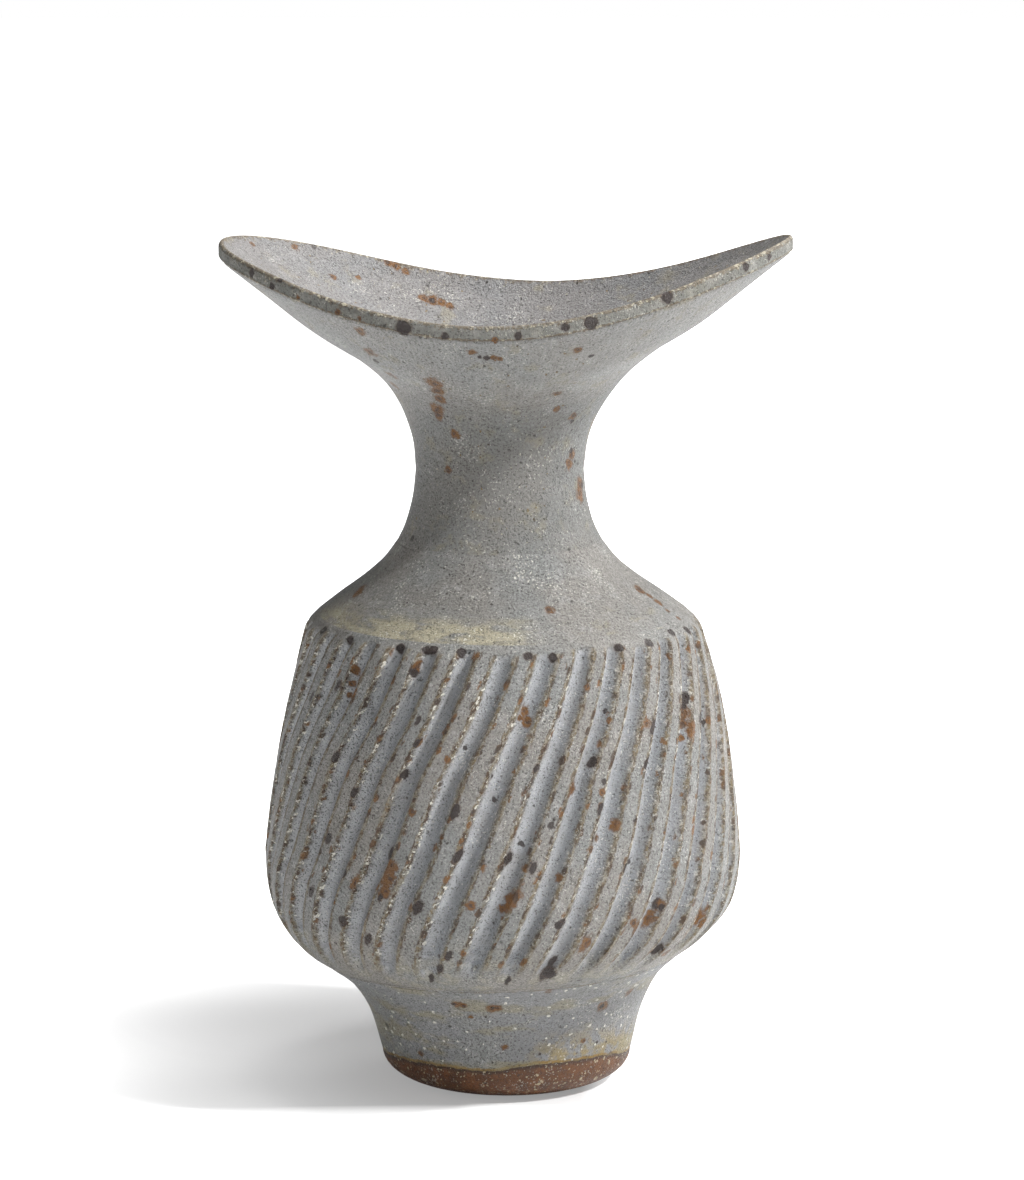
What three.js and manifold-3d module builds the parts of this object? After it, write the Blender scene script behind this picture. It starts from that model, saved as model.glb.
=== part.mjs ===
// A stoneware vase with cut flutes and a wide oval lip, thrown in four sections joined with slip.
// Millimetres, +Z up. The origin is the middle of the foot, on the surface that the vase stands on.
// The front of the vase faces -Y.
import * as THREE from 'three';
import { mergeVertices } from 'three/addons/utils/BufferGeometryUtils.js';
import Module from 'manifold-3d';

// Heights of the four thrown sections; the last is measured from the waist to the lip's mean height
const footHeight = 37.5;
const bodyHeight = 97.5;
const shoulderHeight = 21;
const waistRise = 20.6;
const lipRise = 57.1;

// Outside radii where the sections meet, at the belly and at the neck's waist
const footWallRadius = 36;
const footJointRadius = 53.1;
const bellyRadius = 68.9;
const shoulderRadius = 53.5;
const neckJointRadius = 29.4;
const waistRadius = 24.1;

// The belly's height above the foot joint
const bellyRise = 28.5;

// Foot: a rounded bare edge, a flat ring to stand on and a shallow hollow inside that ring
const footEdgeRise = 8.2;
const footEdgeRun = 14.5;
const standWidth = 5.5;
const hollowDepth = 3;
const floorThickness = 6;
const floorRounding = 6;

// Flutes, cut slanting round the body with a looped tool; angles in degrees
const fluteCount = 34;
const fluteDepth = 1.9;
const fluteShare = 0.55;
const fluteRoundness = 2;
const fluteLean = 0.36;
const fluteTurn = 7.8;
const fluteStartDrop = 0.5;
const fluteRunIn = 3.2;
const fluteEndRise = 0.6;
const fluteRunOut = 9;

// Lip: an oval whose two ends rise, turned a little about the axis. Its height is a sum of waves: the
// rise of both ends, what the right end has over the left, and two that the hand left in it.
const lipHalfLength = 81.4;
const lipHalfWidth = 52.4;
const lipTurn = -8.8;
const lipEndRise = 9.2;
const lipTipBias = 1.1;
const lipThirdWave = 0.6;
const lipFourthWave = -0.65;
const lipBand = 4.1;
const lipSoftening = 1;

// Walls, slip and clearance
const wall = 5.4;
const neckWall = 5;
const slipThickness = 0.5;
const slipSetback = 0.5;
const slipBead = 1.2;
const slipFilm = 0.06;

// Facets round the plain pieces, along each run and across each flute's height
const roundFacets = 48;
const edgeFacets = 4;
const footSteps = 5;
const bellySteps = 24;
const shoulderSteps = 7;
const columnSteps = 4;
const flareSteps = 11;
const fluteSwellSteps = 2;
const fluteDrawSteps = 4;
const runOutSteps = 3;
const cavityStride = 4;

const jointGap = slipThickness + 2 * slipFilm;
const footTop = footHeight;
const bodyTop = footTop + bodyHeight;
const neckFoot = bodyTop + shoulderHeight;
const waistHeight = neckFoot + waistRise;
const bellyHeight = footTop + bellyRise;
const lipMeanHeight = waistHeight + lipRise;
const degree = Math.PI / 180;

const glaze = { color: 0xa3a39c, roughness: 0.62, metalness: 0 };
const clay = { color: 0x6b4632, roughness: 0.85, metalness: 0 };
const slip = { color: 0x8a8478, roughness: 0.8, metalness: 0 };

// How each stretch of the outside bends: share of the way across against share of the way up
const footRun = [[0, 0], [0.219, 0.454], [0.497, 0.741], [0.7, 0.863], [1, 1]];
const swellRun = [[0, 0], [0.33, 0.13], [0.554, 0.253], [0.816, 0.463], [0.944, 0.698], [1, 1]];
const drawRun = [[0, 0], [0.123, 0.254], [0.37, 0.59], [0.708, 0.891], [0.81, 0.957], [1, 1]];
const shoulderRun = [[0, 0], [0.261, 0.229], [0.568, 0.481], [0.813, 0.724], [1, 1]];
const columnRun = [[0, 0], [0.396, 0.204], [0.68, 0.432], [0.868, 0.66], [1, 1]];
const flareRun = [[0, 0], [0.02, 0.15], [0.085, 0.3], [0.204, 0.45], [0.364, 0.57], [0.56, 0.68],
  [0.808, 0.86], [1, 1]];

const wasm = await Module();
wasm.setup();

const at = (radius, height) => new THREE.Vector2(radius, height);

// A smooth stretch from one [radius, height] point to another, bending as its shares say
function stretch(shares, from, to, steps) {
  const stations = shares.map(([across, up]) => new THREE.Vector3(
    THREE.MathUtils.lerp(from.x, to.x, across),
    THREE.MathUtils.lerp(from.y, to.y, up),
    0,
  ));
  const curve = new THREE.CatmullRomCurve3(stations, false, 'centripetal');
  return curve.getPoints(steps).map((p) => at(p.x, p.y));
}

// The radius of a rising run at a height
function radiusAt(run, height) {
  const found = run.findIndex((p) => p.y >= height);
  const i = found < 0 ? run.length - 1 : Math.max(1, found);
  const [low, high] = [run[i - 1], run[i]];
  return THREE.MathUtils.mapLinear(height, low.y, high.y, low.x, high.x);
}

// The inside of a wall, at the same heights; a slanting wall is cut wider by the same level line
function insideOf(run, thicknessAt) {
  return run.map((point, i) => {
    const before = run[Math.max(i - 1, 0)];
    const after = run[Math.min(i + 1, run.length - 1)];
    const slope = (after.x - before.x) / (after.y - before.y);
    return at(point.x - thicknessAt(i, slope) * Math.hypot(1, slope), point.y);
  });
}

// Shared vertices merged, and the facets that shrink to nothing on the axis left out
function welded(geometry) {
  geometry.deleteAttribute('normal');
  geometry.deleteAttribute('uv');
  const merged = mergeVertices(geometry, 1e-4);
  const index = merged.index.array;
  const kept = [];
  for (let i = 0; i < index.length; i += 3) {
    const [a, b, c] = index.slice(i, i + 3);
    if (a !== b && b !== c && c !== a) kept.push(a, b, c);
  }
  merged.setIndex(kept);
  return merged;
}

// Turns an outline of [radius, height] points, closed or ending on the axis, round the axis
function turned(outline) {
  const points = [...outline];
  if (points[0].x > 0) points.push(points[0].clone());
  const geometry = new THREE.LatheGeometry(points, roundFacets);
  geometry.rotateX(Math.PI / 2);
  return welded(geometry);
}

// A skin over rings of points that run counter-clockwise seen from above; hollow when the section closes
function skinned(rings, sectionCloses) {
  const count = rings[0].length;
  const positions = rings.flat().flatMap((p) => [p.x, p.y, p.z]);
  const faces = [];
  const bands = sectionCloses ? rings.length : rings.length - 1;
  for (let j = 0; j < bands; j += 1) {
    const low = j * count;
    const high = ((j + 1) % rings.length) * count;
    for (let i = 0; i < count; i += 1) {
      const next = (i + 1) % count;
      faces.push(low + i, low + next, high + next, low + i, high + next, high + i);
    }
  }
  if (!sectionCloses) {
    const top = (rings.length - 1) * count;
    const centres = [positions.length / 3, positions.length / 3 + 1];
    positions.push(0, 0, rings[0][0].z, 0, 0, rings.at(-1)[0].z);
    for (let i = 0; i < count; i += 1) {
      const next = (i + 1) % count;
      faces.push(centres[0], next, i, centres[1], top + i, top + next);
    }
  }
  const geometry = new THREE.BufferGeometry();
  geometry.setAttribute('position', new THREE.Float32BufferAttribute(positions, 3));
  geometry.setIndex(faces);
  return geometry;
}

function solid(geometry) {
  const vertProperties = new Float32Array(geometry.attributes.position.array);
  const triVerts = new Uint32Array(geometry.index.array);
  return new wasm.Manifold(new wasm.Mesh({ numProp: 3, vertProperties, triVerts }));
}

function geometryOf(manifold) {
  const mesh = manifold.getMesh();
  const geometry = new THREE.BufferGeometry();
  geometry.setAttribute('position', new THREE.BufferAttribute(new Float32Array(mesh.vertProperties), 3));
  geometry.setIndex(new THREE.BufferAttribute(new Uint32Array(mesh.triVerts), 1));
  geometry.computeVertexNormals();
  return geometry;
}

// Outside and inside runs of the three round sections
const footOutside = stretch(
  footRun,
  at(footWallRadius, footEdgeRise),
  at(footJointRadius, footTop),
  footSteps,
);
const bodyOutside = [
  ...stretch(swellRun, at(footJointRadius, footTop), at(bellyRadius, bellyHeight), bellySteps),
  ...stretch(drawRun, at(bellyRadius, bellyHeight), at(shoulderRadius, bodyTop), bellySteps).slice(1),
];
const shoulderOutside = stretch(
  shoulderRun,
  at(shoulderRadius, bodyTop + jointGap),
  at(neckJointRadius, neckFoot),
  shoulderSteps,
);
const [footInside, bodyInside, shoulderInside] = [footOutside, bodyOutside, shoulderOutside]
  .map((run) => insideOf(run, () => wall));

// Foot: a cup with a floor, a rounded edge, a flat ring to stand on and a hollow inside that ring
function makeFoot() {
  const standRadius = footWallRadius - footEdgeRun;
  const hollowRadius = standRadius - standWidth;
  const edge = [];
  for (let i = 0; i <= edgeFacets; i += 1) {
    const turn = (i / edgeFacets) * Math.PI / 2;
    edge.push(at(standRadius + footEdgeRun * Math.sin(turn), footEdgeRise * (1 - Math.cos(turn))));
  }
  const floor = hollowDepth + floorThickness;
  const cornerTop = floor + floorRounding;
  const cornerRadius = radiusAt(footInside, cornerTop);
  const arcMiddle = 1 - Math.SQRT1_2;
  return turned([
    at(0, hollowDepth),
    at(hollowRadius - hollowDepth, hollowDepth),
    at(hollowRadius, 0),
    ...edge,
    ...footOutside.slice(1),
    ...footInside.filter((p) => p.y > cornerTop).reverse(),
    at(cornerRadius, cornerTop),
    at(cornerRadius - floorRounding * arcMiddle, floor + floorRounding * arcMiddle),
    at(cornerRadius - floorRounding, floor),
    at(0, floor),
  ]);
}

const fluteLow = footTop + jointGap + fluteEndRise;
const fluteHigh = bodyTop - fluteStartDrop;

// How deep a flute is at a height, as a share of its full depth
function fluteStrength(height) {
  const runIn = THREE.MathUtils.clamp((fluteHigh - height) / fluteRunIn, 0, 1);
  const runOut = THREE.MathUtils.smoothstep(height, fluteLow, fluteLow + fluteRunOut);
  return Math.sqrt(runIn) * runOut;
}

// The section of a flute across its pitch: a hollow in the middle, a flat land beside it
function fluteHollow(across) {
  const fromMiddle = Math.abs(across - 0.5) / (fluteShare / 2);
  return fromMiddle >= 1 ? 0 : 1 - fromMiddle ** fluteRoundness;
}

// The heights at which the fluted skin has a ring of points, closer where the flutes start and end
function fluteHeights() {
  const heights = [footTop + jointGap, fluteLow];
  for (let i = 1; i <= runOutSteps; i += 1) heights.push(fluteLow + fluteRunOut * i / runOutSteps);
  const from = fluteLow + fluteRunOut;
  const to = fluteHigh - fluteRunIn;
  for (let i = 1; i <= fluteSwellSteps; i += 1) {
    heights.push(THREE.MathUtils.lerp(from, bellyHeight, i / fluteSwellSteps));
  }
  for (let i = 1; i <= fluteDrawSteps; i += 1) {
    heights.push(THREE.MathUtils.lerp(bellyHeight, to, i / fluteDrawSteps));
  }
  return [...heights, fluteHigh - fluteRunIn / 2, fluteHigh, bodyTop];
}

// Body: a wall swelling from the foot to the shoulder, with the flutes cut round it
function makeBody() {
  const pitch = 360 / fluteCount;
  const land = (1 - fluteShare) / 2;
  const side = land + fluteShare / 6;
  const stops = [0, land, side, 0.5, 1 - side, 1 - land];
  const rings = fluteHeights().map((height) => {
    const ring = [];
    for (let flute = 0; flute < fluteCount; flute += 1) {
      for (const across of stops) {
        const lean = fluteTurn + fluteLean * (height - bellyHeight);
        const angle = (pitch * (flute + across) + lean) * degree;
        const cut = fluteDepth * fluteStrength(height) * fluteHollow(across);
        const radius = radiusAt(bodyOutside, height) - cut;
        ring.push(new THREE.Vector3(radius * Math.cos(angle), radius * Math.sin(angle), height));
      }
    }
    return ring;
  });
  const low = footTop + jointGap;
  const past = wall;
  const middle = bodyInside.filter((p, i) => i % cavityStride === 0 && p.y > low && p.y < bodyTop);
  const cavity = turned([
    at(0, low - past),
    at(radiusAt(bodyInside, low), low - past),
    at(radiusAt(bodyInside, low), low),
    ...middle,
    bodyInside.at(-1),
    at(bodyInside.at(-1).x, bodyTop + past),
    at(0, bodyTop + past),
  ]);
  return geometryOf(solid(skinned(rings, false)).subtract(solid(cavity)));
}

// Shoulder: a low cone that sweeps up from the body's edge into the neck
function makeShoulder() {
  return turned([...shoulderOutside, ...[...shoulderInside].reverse()]);
}

// The lip's outline from above, as the distance from the axis at an angle
function lipRadius(angle) {
  const along = Math.cos(angle - lipTurn * degree) / lipHalfLength;
  const across = Math.sin(angle - lipTurn * degree) / lipHalfWidth;
  return 1 / Math.hypot(along, across);
}

// The height of the lip's top edge, highest at the two ends
function lipHeight(angle) {
  const turn = Math.atan2(
    Math.sin(angle - lipTurn * degree) / lipHalfWidth,
    Math.cos(angle - lipTurn * degree) / lipHalfLength,
  );
  const waves = [lipTipBias, lipEndRise, lipThirdWave, lipFourthWave];
  return waves.reduce((height, size, i) => height + size * Math.cos((i + 1) * turn), lipMeanHeight);
}

// The neck's section at an angle, as one closed outline of [radius, height] points
function neckSection(angle) {
  const waist = at(waistRadius, waistHeight);
  const bandFoot = at(lipRadius(angle), lipHeight(angle) - lipBand);
  const column = stretch(columnRun, at(neckJointRadius, neckFoot + jointGap), waist, columnSteps);
  const flare = stretch(flareRun, waist, bandFoot, flareSteps);
  const outside = [...column, ...flare.slice(1)];
  const inside = insideOf(outside, (i, slope) => {
    const share = THREE.MathUtils.smoothstep(i, columnSteps, outside.length - 1);
    return THREE.MathUtils.lerp(neckWall, lipBand * slope / Math.hypot(1, slope), share);
  });
  outside.at(-1).x -= lipSoftening / 2;
  return [
    ...outside,
    at(bandFoot.x, bandFoot.y + lipSoftening),
    at(bandFoot.x, bandFoot.y + lipBand - lipSoftening),
    at(bandFoot.x - lipSoftening, bandFoot.y + lipBand),
    ...inside.reverse(),
  ];
}

// Neck: a waisted tube that opens into the long saddle-shaped lip
function makeNeck() {
  const sections = [];
  for (let i = 0; i < roundFacets; i += 1) {
    const angle = (i / roundFacets) * 2 * Math.PI;
    const place = (p) => new THREE.Vector3(p.x * Math.cos(angle), p.x * Math.sin(angle), p.y);
    sections.push(neckSection(angle).map(place));
  }
  const rings = sections[0].map((_, j) => sections.map((section) => section[j]));
  return skinned(rings, true);
}

// Slip: a thin ring squeezed between two sections, with a small bead left on the inside wall
function makeSlip(height, outsideRadius, insideRadius) {
  const low = height + slipFilm;
  const high = low + slipThickness;
  const rim = outsideRadius - slipSetback;
  const beadEdge = insideRadius - slipBead / 2;
  return turned([
    at(rim, low),
    at(rim, high),
    at(beadEdge, high),
    at(insideRadius - slipBead, (low + high) / 2),
    at(beadEdge, low),
  ]);
}

function piece(name, geometry, finish) {
  const mesh = new THREE.Mesh(geometry, new THREE.MeshStandardMaterial(finish));
  mesh.name = name;
  return mesh;
}

const vase = new THREE.Group();
vase.add(
  piece('turned_foot', makeFoot(), clay),
  piece('foot_slip_seam', makeSlip(footTop, footJointRadius, footInside.at(-1).x), slip),
  piece('fluted_body', makeBody(), glaze),
  piece('shoulder_slip_seam', makeSlip(bodyTop, shoulderRadius, bodyInside.at(-1).x), slip),
  piece('shoulder_dome', makeShoulder(), glaze),
  piece('neck_slip_seam', makeSlip(neckFoot, neckJointRadius, shoulderInside.at(-1).x), slip),
  piece('flared_neck', makeNeck(), glaze),
);

export default vase;
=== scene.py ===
import math
from functools import reduce
import bpy
import numpy as np
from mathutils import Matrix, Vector, noise
from mathutils.bvhtree import BVHTree


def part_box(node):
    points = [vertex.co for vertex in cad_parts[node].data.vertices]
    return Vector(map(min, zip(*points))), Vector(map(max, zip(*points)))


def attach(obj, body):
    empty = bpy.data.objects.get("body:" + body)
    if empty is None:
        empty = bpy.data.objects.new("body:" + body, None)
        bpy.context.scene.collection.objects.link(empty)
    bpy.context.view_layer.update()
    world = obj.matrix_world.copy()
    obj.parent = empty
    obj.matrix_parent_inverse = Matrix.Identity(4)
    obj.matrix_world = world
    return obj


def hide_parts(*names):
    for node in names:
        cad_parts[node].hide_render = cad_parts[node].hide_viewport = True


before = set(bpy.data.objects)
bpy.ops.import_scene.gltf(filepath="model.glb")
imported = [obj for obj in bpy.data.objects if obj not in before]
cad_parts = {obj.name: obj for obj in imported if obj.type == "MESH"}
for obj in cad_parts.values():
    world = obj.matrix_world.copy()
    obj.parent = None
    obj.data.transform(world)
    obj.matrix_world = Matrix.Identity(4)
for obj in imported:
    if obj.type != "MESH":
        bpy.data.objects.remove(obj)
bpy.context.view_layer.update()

mm = 0.001


# Colours are given as on a screen, 0 to 255.
def colour(red, green, blue):
    def linear(value):
        share = value / 255
        return share / 12.92 if share <= 0.04045 else ((share + 0.055) / 1.055) ** 2.4
    return (linear(red), linear(green), linear(blue), 1.0)


# A value in a node tree. An expression on it makes Math nodes.
class Term:
    def __init__(self, graph, socket):
        self.graph = graph
        self.socket = socket


# Gives Term an operator and its reflected form, so that 1 - mask works
def overload(name, operation):
    setattr(Term, f"__{name}__", lambda term, other: term.graph.math(operation, term, other))
    setattr(Term, f"__r{name}__", lambda term, other: term.graph.math(operation, other, term))


overload("add", "ADD")
overload("sub", "SUBTRACT")
overload("mul", "MULTIPLY")
overload("truediv", "DIVIDE")


# A node tree being built.
class Graph:
    def __init__(self, tree):
        self.tree = tree

    def pick(self, sockets, name):
        if isinstance(name, int):
            return sockets[name]
        return next(s for s in sockets if s.name == name and s.enabled)

    def node(self, kind, settings=None, values=None):
        made = self.tree.nodes.new(kind)
        for name, value in (settings or {}).items():
            setattr(made, name, value)
        for name, value in (values or {}).items():
            socket = self.pick(made.inputs, name)
            if isinstance(value, Term):
                self.tree.links.new(value.socket, socket)
            else:
                socket.default_value = value
        return made

    def out(self, kind, settings=None, values=None, output=None):
        made = self.node(kind, settings, values)
        if output is None:
            socket = next(s for s in made.outputs if s.enabled)
        else:
            socket = self.pick(made.outputs, output)
        return Term(self, socket)

    def math(self, operation, *values):
        return self.out("ShaderNodeMath", {"operation": operation}, dict(enumerate(values)))

    def vector(self, operation, *values, output=None):
        named = dict(enumerate(values))
        if operation == "SCALE":
            named = {0: values[0], "Scale": values[1]}
        return self.out("ShaderNodeVectorMath", {"operation": operation}, named, output)

    def least(self, *values):
        return reduce(lambda first, second: self.math("MINIMUM", first, second), values)

    def most(self, first, second):
        return self.math("MAXIMUM", first, second)

    def ramp(self, value, low, high, start=0.0, end=1.0, smooth=True):
        kind = "SMOOTHSTEP" if smooth else "LINEAR"
        return self.out("ShaderNodeMapRange", {"interpolation_type": kind},
                        {"Value": value, "From Min": low, "From Max": high, "To Min": start, "To Max": end})

    # How far a place is from the upright axis
    def reach(self, x, y):
        return self.math("SQRT", x * x + y * y)

    def parts(self, vector):
        made = self.node("ShaderNodeSeparateXYZ", None, {0: vector})
        return [Term(self, made.outputs[i]) for i in range(3)]

    def combine(self, x, y, z):
        return self.out("ShaderNodeCombineXYZ", None, {0: x, 1: y, 2: z})

    # Mixes two colours, each a value or the name of one in the palette
    def mix(self, factor, first, second, blend="MIX"):
        first, second = [colour(*palette[c]) if isinstance(c, str) else c for c in (first, second)]
        return self.out("ShaderNodeMix", {"data_type": "RGBA", "blend_type": blend},
                        {"Factor": factor, "A": first, "B": second}, "Result")

    def noise(self, vector, size, detail=2.0, rough=0.5, output=0):
        return self.out("ShaderNodeTexNoise", None,
                        {"Vector": vector, "Scale": 1.0 / size, "Detail": detail, "Roughness": rough}, output)

    # Noise about zero, up to about half of an amount each way
    def wander(self, vector, amount, size, detail=2.0, rough=0.5):
        return (self.noise(vector, size, detail, rough) - 0.5) * amount

    # Blotches: noise of a size, cut to a mask between two levels
    def blotches(self, vector, size, low, high, detail=2.0, rough=0.5):
        return self.ramp(self.noise(vector, size, detail, rough), low, high)

    # The same vector moved, so that two patterns of one kind differ
    def aside(self, vector, offset):
        return self.vector("ADD", vector, offset)

    def attribute(self, name):
        return self.out("ShaderNodeAttribute", {"attribute_name": name}, None, "Fac")

    # Round dots, one in a share of the cells, with radii between two sizes in the vector's units
    def dots(self, vector, cell, share, small, large, softness=0.35):
        made = self.node("ShaderNodeTexVoronoi", None, {"Vector": vector, "Scale": 1.0 / cell})
        distance = Term(self, made.outputs["Distance"]) * cell
        chance, size, _ = self.parts(Term(self, made.outputs["Color"]))
        radius = small + size * (large - small)
        here = self.math("LESS_THAN", chance, share)
        return self.ramp(distance / radius, 1.0 + softness, 1.0 - softness) * here


# The node tree of a material or a world, emptied
def clearedTree(owner):
    owner.use_nodes = True
    owner.node_tree.nodes.clear()
    return Graph(owner.node_tree)


def addObject(name, data):
    made = bpy.data.objects.new(name, data)
    bpy.context.scene.collection.objects.link(made)
    return made


# Heights and radii in millimetres, where the frame's nodes meet
heights = {}
for part, node in (("foot", "turned_foot"), ("body", "fluted_body"), ("shoulder", "shoulder_dome"),
                   ("neck", "flared_neck")):
    heights[part + "Low"], heights[part + "Top"] = [end.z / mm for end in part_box(node)]
vase = {
    "footEdge": 8.2, "footWall": 36.0, "footJoint": 53.1, "bellyRise": 28.5, "belly": 68.45,
    "shoulder": 53.5, "neckJoint": 29.4, "waist": 24.1, "waistRise": 20.6, "wall": 5.4,
}
jointHeight = (heights["footTop"] + heights["bodyLow"]) / 2
bellyHeight = heights["footTop"] + vase["bellyRise"]
waistHeight = heights["shoulderTop"] + vase["waistRise"]
tiny = 1e-6

# Each stretch of the outside as shares of the way across and up
footRun = [(0, 0), (0.219, 0.454), (0.497, 0.741), (0.7, 0.863), (1, 1)]
swellRun = [(0, 0), (0.33, 0.13), (0.554, 0.253), (0.816, 0.463), (0.944, 0.698), (1, 1)]
drawRun = [(0, 0), (0.123, 0.254), (0.37, 0.59), (0.708, 0.891), (0.81, 0.957), (1, 1)]
shoulderRun = [(0, 0), (0.261, 0.229), (0.568, 0.481), (0.813, 0.724), (1, 1)]
columnRun = [(0, 0), (0.396, 0.204), (0.68, 0.432), (0.868, 0.66), (1, 1)]
flareRun = [(0, 0), (0.02, 0.15), (0.085, 0.3), (0.204, 0.45), (0.364, 0.57), (0.56, 0.68),
            (0.808, 0.86), (1, 1)]


# A smooth line through points, spaced by the root of their distances so that it doesn't swing out
def smoothLine(points, steps):
    p = np.array(points, float)
    p = np.vstack([2 * p[0] - p[1], p, 2 * p[-1] - p[-2]])
    result = []
    spans = len(p) - 3
    for share in np.linspace(0, spans, steps + 1):
        i = min(int(share), spans - 1)
        a, b, c, d = p[i:i + 4]
        gaps = [max(np.linalg.norm(v - u), tiny) ** 0.5 for u, v in ((a, b), (b, c), (c, d))]
        start = (b - a) / gaps[0] - (c - a) / (gaps[0] + gaps[1]) + (c - b) / gaps[1]
        end = (c - b) / gaps[1] - (d - b) / (gaps[1] + gaps[2]) + (d - c) / gaps[2]
        start, end = start * gaps[1], end * gaps[1]
        t = share - i
        result.append((2 * t**3 - 3 * t**2 + 1) * b + (t**3 - 2 * t**2 + t) * start
                      + (3 * t**2 - 2 * t**3) * c + (t**3 - t**2) * end)
    return np.array(result)


# A run between two (radius, height) points
def stretch(run, start, end, steps=60):
    start, end = np.array(start), np.array(end)
    return smoothLine([start + (end - start) * np.array(share) for share in run], steps)


# Where the stretches meet, as (radius, height), from the foot's edge up to the neck's waist
corners = [
    (vase["footWall"], vase["footEdge"]),
    (vase["footJoint"], heights["footTop"]),
    (vase["belly"], bellyHeight),
    (vase["shoulder"], heights["bodyTop"]),
    (vase["neckJoint"], heights["shoulderTop"]),
    (vase["waist"], waistHeight),
]
runs = [footRun, swellRun, drawRun, shoulderRun, columnRun]
outline = np.vstack([stretch(run, low, high)[:-1] for run, low, high in zip(runs, corners, corners[1:])]
                    + [corners[-1:]])

# The crease where the body was set on the foot
crease = {"depth": 0.45, "width": 0.8}


def outsideRadius(height):
    dip = crease["depth"] * np.exp(-((np.asarray(height) - jointHeight) / crease["width"]) ** 2)
    return np.interp(height, outline[:, 1], outline[:, 0]) - dip


# The wall's thickness is measured square to it, up to a steepest slope
def insideRadius(height, thickness, step=0.6, limit=1.6):
    height = np.asarray(height)
    slope = (outsideRadius(height + step) - outsideRadius(height - step)) / (2 * step)
    return outsideRadius(height) - thickness * np.hypot(1, np.clip(slope, -limit, limit))


# The section of a wall: up its outside at some heights and down its inside at others
def wallSection(up, down, thickness):
    outside = np.stack([outsideRadius(up), up], 1)
    inside = np.stack([insideRadius(down, thickness), down], 1)
    return np.vstack([outside, inside])


# The hand-made vase leans and drifts by a millimetre or so. Each line is a height and its drift sideways.
drift = [(0, 0.7), (10, 0.5), (24, 0.1), (34, -0.3), (45, -0.7), (60, -0.6), (80, -0.3), (103, 0.1),
         (116, 0.2), (133, -0.4), (148, -1.1), (162, -1.3), (176, -1.2), (190, -0.8), (200, 0), (209, 0.4),
         (218, 0), (244, 0)]
hand = {
    "tilt": 0.034, "tiltHeight": 38, "tiltReach": 13, "lump": 0.16, "lumpSize": 16, "swell": 0.5,
    "swellSize": 60, "swellPlace": (7, 3, 1), "core": 15, "calmFrom": 200, "calmReach": 20, "ground": 6,
}


def handShape(points):
    moved = points.copy()
    z = points[:, 2]
    moved[:, 0] += np.interp(z, *zip(*drift))
    near = np.exp(-((z - hand["tiltHeight"]) / hand["tiltReach"]) ** 2)
    moved[:, 2] += hand["tilt"] * points[:, 0] * near
    radius = np.maximum(np.hypot(points[:, 0], points[:, 1]), tiny)
    outer = np.clip(radius / hand["core"], 0, 1)
    calm = 1 - np.clip((z - hand["calmFrom"]) / hand["calmReach"], 0, 1)
    firm = np.minimum(z / hand["ground"], 1)
    for i, point in enumerate(points):
        small = noise.noise(Vector(point) / hand["lumpSize"])
        large = noise.noise(Vector(point) / hand["swellSize"] + Vector(hand["swellPlace"]))
        change = -hand["lump"] * (0.5 + 0.5 * small) - hand["swell"] * (0.5 + 0.5 * large)
        moved[i, :2] += points[i, :2] / radius[i] * change * outer[i] * firm[i] * calm[i]
    return moved


# A mesh from rings of points, each counter-clockwise from above. The section is a closed loop of rings,
# or a line of rings that ends in a pole at both ends.
def ringMesh(name, rings, poles=None, attributes=None):
    rows, count, _ = rings.shape
    points = rings.reshape(-1, 3)
    i = np.arange(count)
    after = (i + 1) % count
    bands = rows - 1 if poles else rows
    faces = []
    for j in range(bands):
        low, high = j * count, (j + 1) % rows * count
        faces.append(np.stack([low + i, low + after, high + after, high + i], 1))
    faces = np.vstack(faces).tolist()
    if poles:
        points = np.vstack([points, [(0, 0, poles[0]), (0, 0, poles[1])]])
        top = (rows - 1) * count
        faces += [(len(points) - 2, int(b), int(a)) for a, b in zip(i, after)]
        faces += [(len(points) - 1, int(top + a), int(top + b)) for a, b in zip(i, after)]
    mesh = bpy.data.meshes.new(name)
    mesh.from_pydata((points * mm).tolist(), [], faces)
    for label, values in (attributes or {}).items():
        data = np.zeros(len(points))
        data[:rows * count] = np.broadcast_to(values, (rows, count)).reshape(-1)
        mesh.attributes.new(label, "FLOAT", "POINT").data.foreach_set("value", data)
    return addObject(name, mesh)


def turnedRings(section, count):
    angle = np.arange(count) / count * 2 * math.pi
    section = np.asarray(section, float)
    x = section[:, :1] * np.cos(angle)
    y = section[:, :1] * np.sin(angle)
    return np.stack([x, y, np.broadcast_to(section[:, 1:], x.shape)], 2)


# Bends a piece as the hand did, shades it smooth but for sharp edges, and puts it in its node's place
def settle(piece, node, material, sharpAngle=62):
    mesh = piece.data
    points = np.zeros(len(mesh.vertices) * 3)
    mesh.vertices.foreach_get("co", points)
    shaped = handShape(points.reshape(-1, 3) / mm) * mm
    mesh.vertices.foreach_set("co", shaped.reshape(-1))
    mesh.polygons.foreach_set("use_smooth", [True] * len(mesh.polygons))
    mesh.update()
    mesh.set_sharp_from_angle(angle=math.radians(sharpAngle))
    mesh.materials.clear()
    mesh.materials.append(material)
    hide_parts(node)
    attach(piece, "root")
    return piece


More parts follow.
